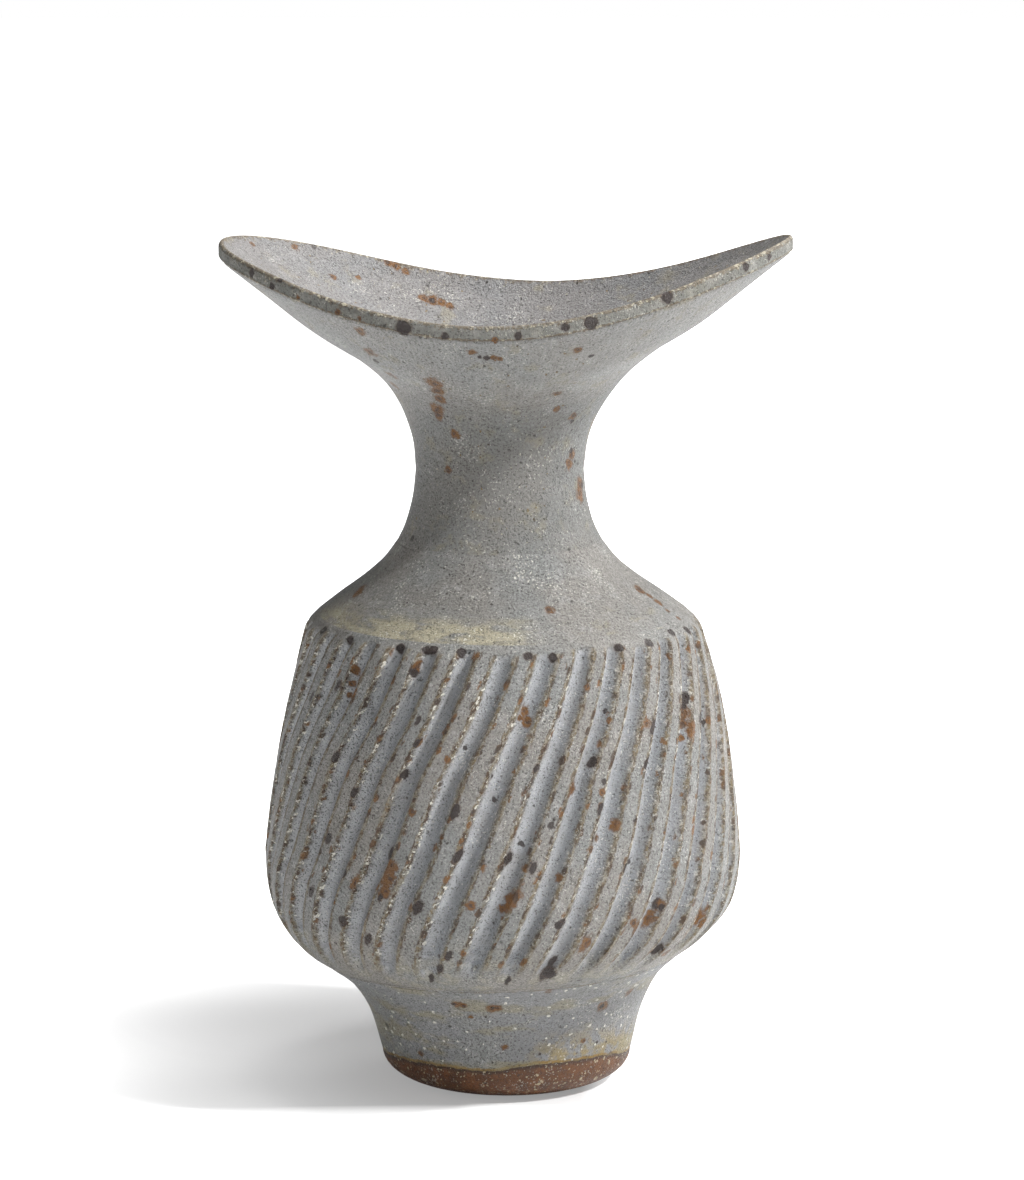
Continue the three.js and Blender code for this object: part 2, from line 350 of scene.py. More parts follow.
# The camera, as the photograph's level rings and the vase's size place it
cameraPlace = {
    "location": (2.13, -1500.0, 417.0), "pitch": 10.407, "focalPixels": 5370.0, "centre": (512.0, 590.0),
    "photoHeight": 1180, "sensor": 36.0, "nearest": 0.05,
}
cameraData = bpy.data.cameras.new("camera")
cameraData.sensor_width = cameraPlace["sensor"]
cameraData.lens = cameraPlace["sensor"] * cameraPlace["focalPixels"] / cameraPlace["photoHeight"]
cameraData.clip_start = cameraPlace["nearest"]
cameraObject = addObject("camera", cameraData)
cameraObject.location = Vector(cameraPlace["location"]) * mm
cameraObject.rotation_euler = (math.radians(90 - cameraPlace["pitch"]), 0, 0)
bpy.context.scene.camera = cameraObject


# Marks given by where they stand in the photograph, as places on a piece
def found(piece, listed):
    mesh = piece.data
    tree = BVHTree.FromPolygons([v.co for v in mesh.vertices], [p.vertices for p in mesh.polygons])
    middle = cameraPlace["centre"]
    marks = []
    for across, down, radius in listed:
        aim = Vector((across - middle[0], middle[1] - down, -cameraPlace["focalPixels"])).normalized()
        aim.rotate(cameraObject.rotation_euler)
        hit = tree.ray_cast(cameraObject.location, aim)[0]
        if hit is not None:
            marks.append((hit / mm, radius))
    return marks


print("frame and camera ready")

# Body: a turned wall whose outside has a column of points along every flute edge, cut by Geometry Nodes
flutes = {
    "Count": 34, "Depth": 2.5, "Share": 0.55, "Turn": 0.97, "Start": heights["bodyLow"] + 0.1,
    "End": heights["bodyTop"] - 0.35, "Run Out": 9.0, "Run In": 3.4, "Seed": 4,
}
# How far the hand set each flute of the front off its even place, in degrees, from the left
firstShifted = 18
shifts = [0, -1.0, -1.1, -0.9, -0.5, -0.4, 0.6, 1.7, 0.6, 0.4, 0.5, -0.4, 0.5, 0]
body = {"columns": 16, "edge": 2, "insideRows": 12, "fineStep": 0.42, "step": 0.86, "fineReach": 10}

# What differs from flute to flute, each drawn between two values, and what wavers along them
varied = {
    "share": (0.93, 1.07), "middle": (-0.02, 0.02), "top": (0.0, 1.3), "low": (0.0, 1.6),
    "runOut": (0.8, 1.25), "depth": (0.84, 1.1),
}
waver = {
    "turn": 1.6, "turnSize": 30, "depth": 0.32, "depthSize": 11, "pit": 0.22, "pitSize": 2.6, "pitFloor": 0.3,
}

# The slant in degrees for a millimetre of height, below, between and above two heights
lean = {"low": 0.36, "middle": 0.30, "high": 0.42, "first": 75, "second": 100}


# The slant's angle at a height, in nodes and then in numbers
def leanNodes(g, z):
    first, second = lean["first"], lean["second"]
    middle = g.ramp(z, first, second, first, second, False)
    return (lean["low"] * (g.least(z, first) - first) + lean["middle"] * (middle - first)
            + lean["high"] * (g.most(z, second) - second))


def leanAt(z):
    first, second = lean["first"], lean["second"]
    return (lean["low"] * (min(z, first) - first) + lean["middle"] * (min(max(z, first), second) - first)
            + lean["high"] * (max(z, second) - second))


def fluteTree():
    tree = bpy.data.node_groups.new("cut flutes", "GeometryNodeTree")

    def addSocket(name, kind, way="INPUT"):
        tree.interface.new_socket(name, in_out=way, socket_type="NodeSocket" + kind)

    addSocket("Geometry", "Geometry", "OUTPUT")
    addSocket("Geometry", "Geometry")
    for name, value in flutes.items():
        addSocket(name, "Int" if isinstance(value, int) else "Float")
    addSocket("Material", "Material")
    g = Graph(tree)
    entry = g.node("NodeGroupInput")
    given = {s.name: Term(g, s) for s in entry.outputs if s.name}

    def named(label):
        return g.out("GeometryNodeInputNamedAttribute", None, {"Name": label})

    # Each name draws with a seed of its own
    def chance(name):
        low, high = varied[name]
        seed = given["Seed"] + (1 + list(varied).index(name))
        return g.out("FunctionNodeRandomValue", None, {"Min": low, "Max": high, "ID": index, "Seed": seed})

    coord, outer = named("fluteCoord"), named("outer")
    index = g.math("FLOOR", coord)
    across = coord - index
    place = g.vector("SCALE", g.out("GeometryNodeInputPosition"), 1 / mm)
    x, y, z = g.parts(place)
    radius = g.reach(x, y)

    # Where this flute's two edges are, as shares of the pitch
    share = given["Share"] * chance("share")
    middle = 0.5 + chance("middle")
    left, right = middle - share / 2, middle + share / 2
    land = body["edge"] / body["columns"]
    mapped = (g.ramp(across, 0, land, 0, left, False) + g.ramp(across, land, 1 - land, left, right, False)
              + g.ramp(across, 1 - land, 1, right, 1, False) - left - right)
    mapped = across + (mapped - across) * outer

    sway = g.wander(place, waver["turn"], waver["turnSize"], 1.0) + named("shift")
    angle = (index + mapped) * (360.0 / given["Count"]) + given["Turn"] + leanNodes(g, z) + sway * outer
    angle = angle * (math.pi / 180)

    # The hollow's section, and how it starts and runs out
    t = (across - 0.5) / (0.5 - land)
    side = g.math("ABSOLUTE", t)
    section = g.most(1.0 - side * side, 0.0)
    top = given["End"] - chance("top")
    runIn = g.math("SQRT", g.ramp(z, top, top - given["Run In"], 0, 1, False))
    low = given["Start"] + chance("low")
    runOut = g.ramp(z, low, low + given["Run Out"] * chance("runOut"))
    uneven = chance("depth") * (1.0 + g.wander(place, waver["depth"], waver["depthSize"]))
    strength = runIn * runOut * outer
    cut = given["Depth"] * uneven * section * strength
    pits = (g.noise(place, waver["pitSize"]) - waver["pitFloor"]) * waver["pit"] * outer
    newRadius = radius - cut - g.most(pits, 0.0)
    moved = g.combine(newRadius * g.math("COSINE", angle), newRadius * g.math("SINE", angle), z)
    moved = g.vector("SCALE", moved, mm)
    pitch = radius * (2 * math.pi / given["Count"])
    inGroove = (side - 1.0) * pitch * share * 0.5
    onLand = (side - 1.0) * pitch * (1.0 - share) * 0.5 * ((0.5 - land) / land)
    edgeGap = g.least(inGroove, 0.0) + g.most(onLand, 0.0)
    # How near a place is to its hollow's left wall, which faces the key lamp; the glaze paints a highlight
    # there
    leftSide = g.ramp(t, -0.6, 0.3, 1.0, 0.0, False)

    # What the glaze needs to know of each place is kept with it
    kept = {"hollow": section * strength, "cut": strength, "edgeGap": edgeGap, "leftSide": leftSide}
    shape = g.out("GeometryNodeSetPosition", None, {"Geometry": given["Geometry"], "Position": moved})
    for label, value in kept.items():
        shape = g.out("GeometryNodeStoreNamedAttribute", None,
                      {"Geometry": shape, "Name": label, "Value": value})
    shape = g.out("GeometryNodeSetMaterial", None, {"Geometry": shape, "Material": given["Material"]})
    shape = g.out("GeometryNodeRealizeInstances", None, {"Geometry": shape})
    g.node("NodeGroupOutput", None, {0: shape})
    return tree


def makeBody(material):
    low, high = heights["bodyLow"], heights["bodyTop"]
    reach = body["fineReach"]
    fine = np.arange(low, low + reach, body["fineStep"])
    plain = np.arange(low + reach, high - reach, body["step"])
    last = np.linspace(high - reach, high, int(reach / body["fineStep"]) + 1)
    z = np.concatenate([fine, plain, last])
    inner = np.linspace(high, low, body["insideRows"])
    section = wallSection(z, inner, vase["wall"])
    count = flutes["Count"] * body["columns"]
    outer = np.concatenate([np.ones(len(z)), np.zeros(len(inner))])[:, None]
    fluteCoord = np.arange(count)[None, :] / body["columns"]
    shift = np.interp(fluteCoord, firstShifted + np.arange(len(shifts)) + 0.5, shifts)
    piece = ringMesh("glazed_body", turnedRings(section, count), None,
                     {"fluteCoord": fluteCoord, "outer": outer, "shift": shift})
    modifier = piece.modifiers.new("flutes", "NODES")
    tree = fluteTree()
    modifier.node_group = tree
    inputs = {**flutes, "Material": material}
    for item in tree.interface.items_tree:
        if item.in_out == "INPUT" and item.name in inputs:
            modifier[item.identifier] = inputs[item.name]
    seen = piece.evaluated_get(bpy.context.evaluated_depsgraph_get())
    plainMesh = bpy.data.meshes.new_from_object(seen)
    piece.modifiers.clear()
    piece.data = plainMesh
    return piece


# Neck: round at the joint and a long oval at the lip, whose two ends rise
lip = {
    "halfLength": 81.4, "halfWidth": 52.4, "turn": -8.8, "meanRise": 57.1, "waves": (1.1, 9.2, 0.6, -0.65),
    "band": 4.1, "softening": 0.9, "wall": 5.0, "columns": 336, "columnRows": 24, "flareRows": 74,
    "wobbleUp": 0.2, "wobbleOut": 0.12, "inset": 0.08, "wobbleReach": 2, "wobbleLevel": 4, "bulge": 0.16,
    "underIn": 0.55, "underUp": 0.8, "face": (0.22, 0.8),
}


def lipShape(angle):
    turn = math.radians(lip["turn"])
    across, along = np.sin(angle - turn) / lip["halfWidth"], np.cos(angle - turn) / lip["halfLength"]
    radius = 1 / np.hypot(along, across)
    t = np.arctan2(across, along)
    rise = sum(size * np.cos((i + 1) * t) for i, size in enumerate(lip["waves"]))
    return radius, waistHeight + lip["meanRise"] + rise


def makeNeck(material):
    angle = np.arange(lip["columns"]) / lip["columns"] * 2 * math.pi
    reach, top = lipShape(angle)
    size, level = lip["wobbleReach"], lip["wobbleLevel"]
    wobble = np.array([noise.noise(Vector((math.cos(a) * size, math.sin(a) * size, level))) for a in angle])
    top = top + lip["wobbleUp"] * (wobble - 0.5)
    reach = reach - lip["wobbleOut"] * (1 - wobble) - lip["inset"]
    bandLow = top - lip["band"]
    columnZ = np.linspace(heights["neckLow"], waistHeight, lip["columnRows"])
    even, waist = np.ones(len(angle)), vase["waist"]
    across, up = smoothLine(flareRun, lip["flareRows"])[1:].T[:, :, None]
    radius = np.vstack([np.outer(outsideRadius(columnZ), even), waist + (reach - waist) * across])
    height = np.vstack([np.outer(columnZ, even), waistHeight + (bandLow - waistHeight) * up])
    slope = np.gradient(radius, axis=0) / np.gradient(height, axis=0)
    i = np.clip((np.arange(len(radius)) - len(columnZ)) / (len(radius) - 1 - len(columnZ)), 0, 1)
    share = (i * i * (3 - 2 * i))[:, None]
    inner = radius - (lip["wall"] * np.hypot(1, slope) * (1 - share) + lip["band"] * slope * share)
    soft, bulge = lip["softening"], lip["bulge"]

    # The band: its lower edge, its rounded face and its top edge. Each row has a radius, a height, and how
    # far it counts as band and as the band's edge.
    edge = []
    for turn in np.linspace(0, 1, 5):
        edge.append((reach - soft * lip["underIn"] * (1 - turn) ** 2,
                     bandLow + soft * lip["underUp"] * turn ** 2, turn, 1 - abs(turn - 0.5)))
    for up in np.linspace(*lip["face"], 8):
        edge.append((reach - bulge * (1 - math.sin(up * math.pi)), bandLow + lip["band"] * up,
                     1.0, max(0.0, (up - 0.5) * 1.6)))
    for turn in np.linspace(0, math.pi / 2, 6):
        edge.append((reach - bulge - soft * (1 - math.cos(turn)), top - soft * (1 - math.sin(turn)),
                     1.0 - 0.3 * turn, 0.6 + 0.25 * turn))
    final = reach - bulge - soft
    rows = [(r, z, 0.0, 0.0) for r, z in zip(radius[:-1], height[:-1])]
    rows += edge
    for share in np.linspace(0, 1, 9)[1:-1]:
        rows.append((final + (inner[-1] - final) * share, top + (height[-1] - top) * share,
                     0.0, math.exp(-share * 5)))
    rows += [(r, z, 0.0, 0.0) for r, z in zip(inner[::-1], height[::-1])]
    rings = np.array([np.stack([r * np.cos(angle), r * np.sin(angle), z], 1) for r, z, _, _ in rows])
    band, bandEdge = [np.array([row[i] for row in rows])[:, None] for i in (2, 3)]
    within = (np.arange(len(rows)) >= len(radius) - 1 + len(edge)).astype(float)[:, None]
    piece = ringMesh("glazed_neck", rings, None, {"band": band, "bandEdge": bandEdge, "within": within})
    return settle(piece, "flared_neck", material)


# Foot: a cup with a rounded bare edge, a flat ring to stand on and a shallow hollow inside that ring
foot = {
    "run": 14.5, "stand": 5.5, "hollow": 3.0, "hollowEdge": 3, "floor": 6.0, "rounding": 6.0, "flat": 4,
    "inset": 1, "columns": 320, "rows": 46,
}


def makeFoot(material):
    stand = vase["footWall"] - foot["run"]
    ring = stand - foot["stand"]
    edge, inset, rounding = foot["hollowEdge"], foot["inset"], foot["rounding"]
    section = [(r, foot["hollow"]) for r in np.linspace(inset, ring - edge, 8)]
    section += [(ring - edge + edge * t, foot["hollow"] * (1 - t * t)) for t in np.linspace(0.2, 1, 5)]
    section += [(r, 0.0) for r in np.linspace(ring + inset, stand - inset, 4)]
    for turn in np.linspace(0, math.pi / 2, 14)[:-1]:
        section.append((stand + foot["run"] * math.sin(turn), vase["footEdge"] * (1 - math.cos(turn))))
    for z in np.linspace(vase["footEdge"], heights["footTop"], foot["rows"]):
        section.append((outsideRadius(z), z))
    floor = foot["hollow"] + foot["floor"]
    cornerTop = floor + rounding
    for z in np.linspace(heights["footTop"], cornerTop, 12):
        section.append((insideRadius(z, vase["wall"]), z))
    corner = insideRadius(cornerTop, vase["wall"])
    for turn in np.linspace(0, math.pi / 2, 7)[1:]:
        section.append((corner - rounding * (1 - math.cos(turn)), cornerTop - rounding * math.sin(turn)))
    section += [(r, floor) for r in np.linspace(corner - rounding - foot["flat"], inset, 6)]
    piece = ringMesh("glazed_foot", turnedRings(section, foot["columns"]), (foot["hollow"], floor))
    return settle(piece, "turned_foot", material)


shoulder = {"rows": 64, "insideRows": 14, "columns": 360}


def makeShoulder(material):
    low, high = heights["shoulderLow"], heights["shoulderTop"]
    up, down = np.linspace(low, high, shoulder["rows"]), np.linspace(high, low, shoulder["insideRows"])
    section = wallSection(up, down, vase["wall"])
    piece = ringMesh("glazed_shoulder", turnedRings(section, shoulder["columns"]))
    return settle(piece, "shoulder_dome", material)


# Slip: the glazed joint outside, and a small bead on the inside wall
slip = {"rows": 4, "bead": 0.9, "beadShape": (0, 0.8, 1, 0.8, 0), "columns": 360}


def makeSlip(name, node, low, high, wall, material):
    inside = insideRadius((low + high) / 2, wall)
    section = [(outsideRadius(z), z) for z in np.linspace(low, high, slip["rows"])]
    down = np.linspace(high, low, len(slip["beadShape"]))
    section += [(inside - slip["bead"] * share, z) for share, z in zip(slip["beadShape"], down)]
    piece = ringMesh(name, turnedRings(section, slip["columns"]))
    return settle(piece, node, material)


# Glaze: a matt grey, pitted and specked with iron. The recipe is shared, and each piece adds its own marks.
palette = {
    "cool": (121, 122, 120), "warm": (125, 122, 117), "pale": (149, 149, 147), "underLipShade": (100, 100, 97),
    "mauve": (104, 102, 105), "blue": (124, 127, 131), "blueHighlight": (170, 172, 175), "pit": (44, 39, 34),
    "speckAndGlint": (206, 203, 192), "iron": (40, 30, 27), "rust": (62, 40, 22), "orange": (104, 68, 26),
    "ochre": (102, 83, 46), "pool": (80, 86, 95), "tan": (132, 119, 84), "brown": (56, 40, 28),
    "olive": (134, 126, 98), "cream": (168, 162, 142), "bandDull": (96, 96, 88), "bandPale": (124, 123, 115),
    "bandEdge": (92, 78, 57), "footHaze": (136, 118, 68), "footLine": (128, 100, 44), "clay": (104, 64, 32),
    "clayDark": (80, 49, 26), "clayRim": (50, 34, 26), "grog": (176, 162, 134),
}

# The sizes of the glaze's patterns in millimetres, and how strongly they show
texture = {
    "torn": 1.5, "soft": 26, "middle": 4.5, "fine": 0.75, "pore": 0.5, "glint": 0.62, "pitCell": 3.4,
    "ironCell": 7.5, "pale": 0.45, "grain": (0.64, 1.3), "pits": 0.8, "specksAndGlints": 0.7, "bump": 0.8,
}


class Glaze:
    def __init__(self, name, iron):
        self.material = bpy.data.materials.new(name)
        self.g = g = clearedTree(self.material)
        self.place = g.vector("SCALE", g.out("ShaderNodeTexCoord", None, None, "Object"), 1 / mm)
        x, y, z = g.parts(self.place)
        shift = g.vector("SUBTRACT", g.noise(self.place, texture["torn"], 2, 0.6, 1), (0.5, 0.5, 0.5))
        self.torn = g.vector("ADD", self.place, g.vector("SCALE", shift, texture["torn"]))
        self.soft = g.noise(self.place, texture["soft"], 3)
        self.middle = g.noise(self.place, texture["middle"], 4, 0.6)
        self.fine = g.noise(self.place, texture["fine"], 3, 0.75)
        base = g.mix(g.ramp(self.soft, 0.38, 0.62), "cool", "warm")
        base = g.mix(g.ramp(self.middle, 0.48, 0.72) * texture["pale"], base, "pale")
        grain = g.ramp(self.fine, 0.3, 0.7, *texture["grain"], False)
        self.colour = g.mix(1, base, g.combine(grain, grain, grain), "MULTIPLY")
        pores = g.blotches(g.aside(self.place, (8, 2, 4)), texture["pore"], 0.44, 0.33)
        self.pits = g.most(pores * 0.8, g.dots(self.torn, texture["pitCell"], 0.5, 0.2, 0.5))
        # Pale specks in the glaze that also stand in for glints: painted highlights, clustered by a larger
        # noise
        glints = g.noise(g.aside(self.place, (31, 17, 5)), texture["glint"])
        self.specksAndGlints = g.ramp(glints + g.wander(self.place, 0.4, 9), 0.64, 0.72)
        self.iron = g.dots(g.aside(self.torn, (11, 3, 9)), texture["ironCell"], iron, 0.4, 1.1, 0.2)

        # The back isn't seen in the photo, so its larger marks are set by chance
        back = g.ramp(y, 0, 18)
        large = g.dots(g.aside(self.torn, (4, 7, 1)), 10, 0.15 + iron * 1.4, 0.8, 1.5, 0.2)
        self.iron = g.most(self.iron, large * back)
        self.stains = g.dots(g.aside(self.torn, (1, 5, 8)), 12, 0.3 + iron, 1, 2.2, 0.5) * back

        # The crease where the body was set on the foot
        joint = jointHeight + hand["tilt"] * x
        fromJoint = g.math("ABSOLUTE", z - joint + (self.middle - 0.5) * 0.8)
        self.joint = g.ramp(fromJoint, 0.8, 0.2) * g.blotches(self.place, 6, 0.36, 0.52)

    # Paints a colour where a mask is
    def paint(self, mask, shade):
        self.colour = self.g.mix(mask, self.colour, shade)

    # Small dots of one colour
    def pepper(self, shade):
        dots = self.g.dots(self.g.aside(self.torn, (2, 13, 6)), 2.6, 0.4, 0.22, 0.42, 0.2)
        self.paint(dots * 0.85, shade)

    # The least distance to any of the marks, each (place, radius), as a share of its radius
    def nearest(self, vector, marks):
        shares = [self.g.vector("DISTANCE", vector, tuple(p), output="Value") / r for p, r in marks]
        return self.g.least(*shares)

    # Iron marks: a dark core with a rusty rim, or rust alone
    def mark(self, vector, darkMarks, rustMarks):
        g = self.g
        if rustMarks:
            near = self.nearest(vector, rustMarks)
            torn = near + g.wander(self.place, 1.9, 1.9, 4, 0.7)
            heart = g.ramp(near + (self.middle - 0.5) * 2.6 + (self.fine - 0.5) * 1.2, 0, 0.6)
            shade = g.mix(heart, "rust", "orange")
            shade = g.mix(g.ramp(torn, 0.55, 0.95) * 0.4, shade, "rust")
            stain = g.ramp(torn, 1.35, 0.6)
            self.paint(stain * g.ramp(self.fine, 0.25, 0.5, 0.8, 1), shade)
            self.iron = g.most(self.iron, stain * 0.8)
        if darkMarks:
            near = self.nearest(vector, darkMarks)
            self.paint(g.ramp(near, 1.4, 0.95) * 0.55, "rust")
            core = g.ramp(near, 1.08, 0.86)
            self.paint(core * 0.94, "iron")
            self.iron = g.most(self.iron, core)

    # The brown line in the crease, the stains of the back and the iron spots that bleed through
    def spot(self, strength=0.85):
        self.paint(self.joint * 0.8, self.g.mix(self.g.ramp(self.middle, 0.42, 0.6), "brown", "ochre"))
        self.paint(self.stains * 0.75, "orange")
        self.paint(self.iron * strength, "iron")

    def finish(self, bumpExtra=0):
        g = self.g
        plain = 1 - self.iron
        # Dark pits, and pale specks that are partly painted highlights (glints)
        self.paint(self.pits * plain * texture["pits"], "pit")
        self.paint(self.specksAndGlints * plain * texture["specksAndGlints"], "speckAndGlint")
        height = self.fine * 0.8 + self.middle * 0.5 - self.pits * 0.3 + self.specksAndGlints * 0.12 - self.iron * 0.2
        bump = g.out("ShaderNodeBump", None,
                     {"Height": height + bumpExtra, "Strength": 1, "Distance": texture["bump"] * mm})
        rough = g.ramp(self.fine, 0.35, 0.65, 0.56, 0.36, False) - self.iron * 0.1
        shader = g.out("ShaderNodeBsdfPrincipled", None, {
            "Base Color": self.colour, "Roughness": rough, "Normal": bump, "Specular IOR Level": 0.45})
        g.node("ShaderNodeOutputMaterial", None, {"Surface": shader})


# The angle round the vase, in degrees from the front towards the right
def angleOf(g, x, y):
    return g.math("ARCTAN2", x, -1 * y) * (180 / math.pi)


# Marks on the body's lands and hollows, each an angle from the front in degrees, a height and a radius
bodyDark = [
    (-63.5, 116.3, 0.97), (-51.5, 121.3, 0.97), (-48, 102.3, 1.06), (-40, 93.8, 0.88), (-47, 79.8, 1.06),
    (-52, 63.8, 1.06), (-41, 71.3, 0.88), (-41.5, 57.3, 1.06), (-34.5, 53.3, 1.06), (-28.5, 78.3, 1.14),
    (-23, 115.3, 0.79), (-23, 109.3, 0.79), (-26, 100.3, 0.88), (-12, 91.3, 1.32), (-11, 79.3, 1.23),
    (-20.5, 64.3, 1.32), (-13.5, 50.8, 1.06), (-16.5, 46.3, 0.97), (-20, 42.3, 0.88), (1, 42.3, 0.88),
    (1, 78.8, 1.14), (6.8, 76.3, 0.97), (13.5, 60.3, 0.97), (12.3, 48.3, 1.06), (11.2, 44.8, 1.67),
    (8, 103.3, 0.79), (23, 103.8, 0.88), (24, 91.3, 1.06), (38.3, 102.3, 0.79), (42, 111.3, 1.23),
    (56.5, 117.8, 1.14), (62.5, 110.3, 0.97), (40, 62.3, 0.97), (45, 47.3, 0.97), (-30, 66.3, 0.79),
    (30, 74.3, 0.79),
]
bodyRust = [
    (-28.5, 72.3, 1.8), (-29, 68.3, 1.7), (-37.5, 69.3, 1.3), (2, 67.3, 1.9), (17, 97.3, 1.4),
    (57, 112.3, 1.8), (57.5, 108.3, 1.5), (19.8, 53.8, 1.6), (38, 58.3, 1.6), (58, 54.3, 1.5),
    (-44, 124.3, 1.6), (-45, 120.3, 1.5), (-25.5, 129.3, 1.3), (28, 86.3, 1.2),
]

# Other marks, each a pixel of the photograph, across and down, and a radius in millimetres. The tops are the
# dark spots where the flutes begin.
bodyTops = [
    (324, 628), (350, 638), (401, 647), (426, 648), (433, 648), (461, 651), (528, 654), (553, 656),
    (619, 646), (649, 641), (671, 630), (687, 628), (414, 671),
]
topMark = {"down": 2, "radius": 1.35}
bodyStains = [
    (524, 711, 1.5), (527, 722, 1.6), (520, 718, 1.1), (352, 684, 1.2), (355, 670, 1.5), (350, 695, 1),
    (392, 866, 1.9), (389, 878, 2.1), (386, 892, 1.7), (470, 906, 1.4), (509, 903, 1.8), (502, 909, 1.3),
    (559, 878, 1.3), (602, 792, 1.1), (587, 687, 1), (647, 723, 1.3), (683, 712, 1.3), (682, 724, 1.4),
    (681, 738, 1.1), (634, 923, 1.4), (661, 904, 1.2), (666, 953, 1.5), (412, 812, 1.2), (447, 759, 1),
    (596, 838, 1.2), (591, 850, 1.3), (463, 954, 1), (719, 923, 1.1),
]
bodyHoles = [
    (684, 698, 1.7), (683, 706, 1.1), (703, 722, 0.9), (647, 766, 1.2), (737, 814, 1), (549, 973, 1.9),
    (559, 925, 1.1), (661, 907, 0.9), (439, 969, 1.1), (368, 939, 1), (416, 908, 1.1), (342, 920, 1.1),
]

# The scale of the body's flat picture, the heights where the low haze ends, and how strongly layers show
bodyLook = {
    "iron": 0.3, "across": 1.15, "up": 0.62, "hazeTop": 57, "hazeLow": 44, "haze": 0.35, "pool": 0.6,
    "edgeOut": 0.2, "edgeSway": 2, "edgeWidth": 0.45, "widthSway": 2.4, "crust": 0.7, "beads": 0.9,
}


def bodyGlaze(piece, look=bodyLook):
    made = Glaze("body glaze", look["iron"])
    g = made.g
    hollow, cut, edgeGap, leftSide = [g.attribute(n) for n in ("hollow", "cut", "edgeGap", "leftSide")]

    # A flat picture of the body's skin, along the flutes, in millimetres
    x, y, z = g.parts(made.torn)
    flat = g.combine((angleOf(g, x, y) - leanNodes(g, z)) * look["across"], z * look["up"], 0)

    def marksOf(listed):
        return [(((a - leanAt(h)) * look["across"], h * look["up"], 0), r) for a, h, r in listed]

    # The hollows hold bluer glaze. Toward each hollow's left wall, which faces the key lamp, the blue is
    # painted paler: a painted highlight.
    hollowBlueAndHighlight = g.mix(leftSide, "blue", "blueHighlight")
    made.paint(g.ramp(hollow, 0.1, 0.8) * g.ramp(made.middle, 0.3, 0.6, 0.5, 0.85, False), hollowBlueAndHighlight)

    # Low down the edges are soft, the hollows hold darker pools and the lands are hazed with ochre
    low = g.ramp(z + (made.soft - 0.5) * 12, look["hazeTop"], look["hazeLow"])
    made.paint(g.ramp(hollow, 0.25, 0.7) * low * g.blotches(flat, 5, 0.46, 0.58) * look["pool"], "pool")
    made.paint(low * g.ramp(made.middle, 0.46, 0.62) * look["haze"], "olive")
    cut = cut * (1 - low * 0.6)
    cutHere = g.ramp(cut, 0.1, 0.6)

    # The glaze breaks to ochre and brown along both edges of each flute, most where the tool went in
    stretched = g.vector("MULTIPLY", flat, (1, 0.7, 1))
    gap = g.math("ABSOLUTE", edgeGap - look["edgeOut"] + g.wander(stretched, look["edgeSway"], 1.8, 3, 0.65))
    width = look["edgeWidth"] + g.wander(stretched, look["widthSway"], 5)
    line = g.ramp(gap - width, 0.5, -0.35) * cutHere
    tint = g.blotches(stretched, 1.3, 0.4, 0.62, 3, 0.7)
    made.paint(line * (0.24 + tint * 0.36), g.mix(tint, "tan", "ochre"))
    crust = g.blotches(g.aside(flat, (5, 21, 7)), 0.85, 0.47, 0.55, 2, 0.6)
    made.paint(crust * g.ramp(gap, 1, 0.35) * cutHere * look["crust"], g.mix(tint, "ochre", "brown"))
    knots = g.blotches(g.vector("MULTIPLY", flat, (1, 0.75, 1)), 1.6, 0.54, 0.59, 3, 0.6)
    knotShade = g.mix(g.ramp(made.soft, 0.42, 0.58), "brown", "rust")
    made.paint(knots * g.ramp(gap, 1.2, 0.5) * (0.6 + leftSide * 0.3) * cut, knotShade)
    # Pale crumbs along the edges, stronger on each hollow's left edge, which faces the key lamp, so they are
    # partly painted glints
    crumbs = g.blotches(g.aside(flat, (40, 8, 2)), 0.95, 0.58, 0.63, 2, 0.6)
    onEdge = g.ramp(g.math("ABSOLUTE", edgeGap + 0.35), 0.9, 0.4)
    made.paint(crumbs * onEdge * (0.3 + leftSide * 0.6) * cut, "speckAndGlint")
    beads = g.dots(g.aside(flat, (3, 12, 0)), 2.5, 0.85, 0.4, 0.9, 0.2)
    beadShade = g.mix(g.blotches(flat, 4, 0.42, 0.58), "brown", "orange")
    made.paint(beads * g.ramp(gap, 1.7, 0.9) * cutHere * look["beads"], beadShade)
    made.specksAndGlints = made.specksAndGlints * (0.5 + cut * 0.05)
    made.spot(0.9)
    made.mark(flat, marksOf(bodyDark), marksOf(bodyRust))
    made.mark(made.torn, [], found(piece, bodyStains))
    tops = [(across, down + topMark["down"], topMark["radius"]) for across, down in bodyTops]
    made.mark(made.torn, found(piece, tops + bodyHoles), [])
    made.finish()
    return made.material


# Marks on the neck's outside, the lip's inside and its band, as pixels of the photograph and radii
neckDark = [
    (376, 361, 0.9), (487, 358, 0.9), (480, 357, 0.7), (591, 356, 0.7), (572, 421, 0.7), (571, 451, 0.8),
    (575, 461, 0.4), (582, 485, 1), (432, 300, 0.8),
]
neckRust = [
    (435, 384, 2.6), (438, 391, 2.3), (440, 399, 1.9), (437, 409, 2.2), (439, 415, 1.7), (360, 331, 1.8),
    (370, 352, 1.9), (391, 375, 1.8), (394, 385, 1.5), (472, 352, 1.3), (494, 358, 1.2), (500, 359, 0.9),
    (578, 350, 1.4), (573, 416, 1.3), (593, 422, 1.5), (572, 455, 1.6), (569, 464, 1.7), (580, 484, 2.2),
    (580, 494, 2.3), (455, 434, 1.5), (448, 470, 1.1), (557, 394, 1.3), (557, 409, 1.2),
]
insideRust = [
    (252, 244, 1), (295, 247, 1.3), (333, 277, 1.3), (359, 278, 0.9), (388, 262, 1.4), (396, 266, 1.5),
    (405, 271, 1.3), (424, 298, 1.5), (432, 300, 1.9), (441, 302, 1.5), (450, 306, 1.2),
]
